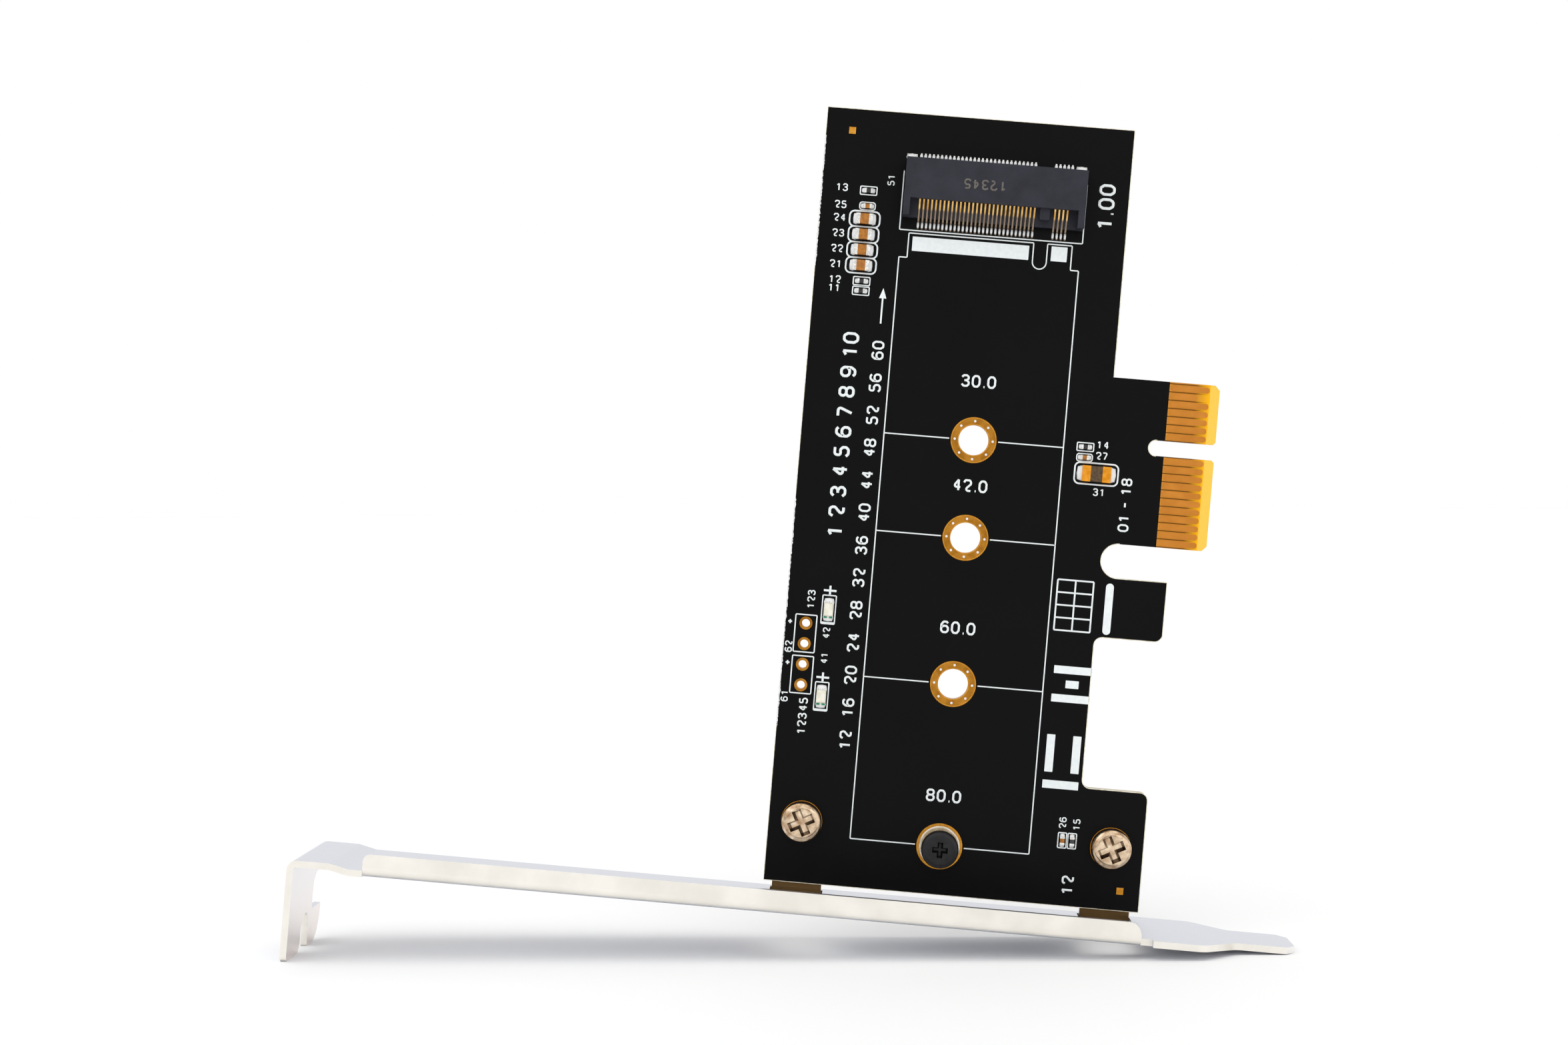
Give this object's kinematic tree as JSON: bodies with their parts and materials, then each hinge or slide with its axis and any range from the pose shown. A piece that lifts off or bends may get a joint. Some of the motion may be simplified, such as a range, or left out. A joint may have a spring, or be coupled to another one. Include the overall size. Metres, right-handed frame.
{
  "type": "storage module adapter card",
  "caption": "Half-width expansion card that carries a stick-shaped storage module, with socket, screw, plug edge and a folded full-height slot bracket.",
  "frame": {"origin": "middle of the base of the bounding box: below the bracket, at the level of the screw tab's free end", "axes": "+X along the bracket from screw tab to tongue, +Y from component side to solder side, +Z from the bracket across the board"},
  "size_m": [0.12, 0.0184, 0.1081],
  "materials": {
    "solder_mask_laminate": "satin black solder mask over glass laminate",
    "plated_bracket_steel": "bright plated cold-rolled sheet, fine mottled satin",
    "gold_plate": "thin gold over copper, satin",
    "contact_gold": "gold-plated spring strip, polished",
    "socket_nylon": "moulded glass-filled nylon, fine matt",
    "tin_plate": "tin plate, satin",
    "screw_nickel": "warm nickel plate",
    "standoff_nickel": "nickel plate",
    "black_zinc": "black zinc plate",
    "solder_tin": "bright tin solder",
    "led_resin": "clear-white cast resin",
    "led_base": "white ceramic base",
    "resistor_glaze": "black glaze on alumina",
    "fuse_coat": "dark brown resin window",
    "fuse_copper": "orange-gold copper end caps",
    "capacitor_ceramic": "tan barium titanate ceramic",
    "marking_ink": "white screen-printed epoxy ink",
    "bare_laminate": "bare yellow epoxy-glass laminate"
  },
  "bodies": {
    "root": {"board_screw_left": "screw_nickel", "board_screw_right": "screw_nickel", "bracket": "plated_bracket_steel", "capacitor_bulk_1_body": "capacitor_ceramic", "capacitor_bulk_1_ends": "solder_tin", "capacitor_bulk_2_body": "capacitor_ceramic", "capacitor_bulk_2_ends": "solder_tin", "capacitor_bulk_3_body": "capacitor_ceramic", "capacitor_bulk_3_ends": "solder_tin", "capacitor_bulk_4_body": "capacitor_ceramic", "capacitor_bulk_4_ends": "solder_tin", "capacitor_edge_body": "capacitor_ceramic", "capacitor_edge_ends": "solder_tin", "capacitor_lower_body": "capacitor_ceramic", "capacitor_lower_ends": "solder_tin", "capacitor_socket_body": "capacitor_ceramic", "capacitor_socket_ends": "solder_tin", "circuit_board": "solder_mask_laminate", "edge_fingers_front": "gold_plate", "edge_fingers_rear": "gold_plate", "fiducial_lower": "gold_plate", "fiducial_upper": "gold_plate", "header_hole_plating_1": "gold_plate", "header_hole_plating_2": "gold_plate", "header_hole_plating_3": "gold_plate", "header_hole_plating_4": "gold_plate", "led_lower_base": "led_base", "led_lower_ends": "solder_tin", "led_lower_lens": "led_resin", "led_upper_base": "led_base", "led_upper_ends": "solder_tin", "led_upper_lens": "led_resin", "module_hole_plating_30": "gold_plate", "module_hole_plating_42": "gold_plate", "module_hole_plating_60": "gold_plate", "module_hole_plating_80": "gold_plate", "module_screw": "black_zinc", "resistor_edge_body": "resistor_glaze", "resistor_edge_ends": "solder_tin", "resistor_led_1_body": "resistor_glaze", "resistor_led_1_ends": "solder_tin", "resistor_led_2_body": "resistor_glaze", "resistor_led_2_ends": "solder_tin", "resistor_lower_body": "resistor_glaze", "resistor_lower_ends": "solder_tin", "resistor_socket_body": "resistor_glaze", "resistor_socket_ends": "solder_tin", "screw_hole_plating_left": "gold_plate", "screw_hole_plating_right": "gold_plate", "socket_contacts_lower": "contact_gold", "socket_contacts_upper": "contact_gold", "socket_hold_down_left": "tin_plate", "socket_hold_down_right": "tin_plate", "socket_housing": "socket_nylon", "standoff": "standoff_nickel", "standoff_nut": "standoff_nickel", "supply_fuse_body": "fuse_coat", "supply_fuse_ends": "fuse_copper"}
  },
  "joints": []
}
